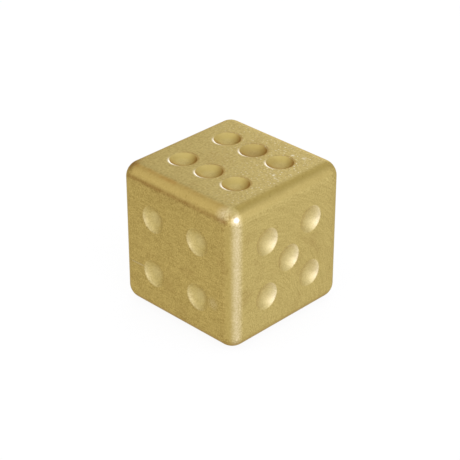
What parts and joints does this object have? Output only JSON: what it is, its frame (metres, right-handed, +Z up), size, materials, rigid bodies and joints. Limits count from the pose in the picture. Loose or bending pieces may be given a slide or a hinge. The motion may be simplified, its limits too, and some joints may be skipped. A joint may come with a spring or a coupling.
{
  "type": "six-sided die",
  "caption": "Solid brass gaming die: a cube with filleted edges and ball corners, and shallow spherical pips milled into every face.",
  "frame": {"origin": "centre of the face with the single pip, on the surface that the die rests on", "axes": "+Z up through the face of six, -Y towards the face of four, +X towards the face of five"},
  "size_m": [0.016, 0.016, 0.016],
  "materials": {
    "brass": "bare brass with a fine matt grain, a little tarnish along the fillets"
  },
  "bodies": {
    "root": {"die_body": "brass"}
  },
  "joints": []
}
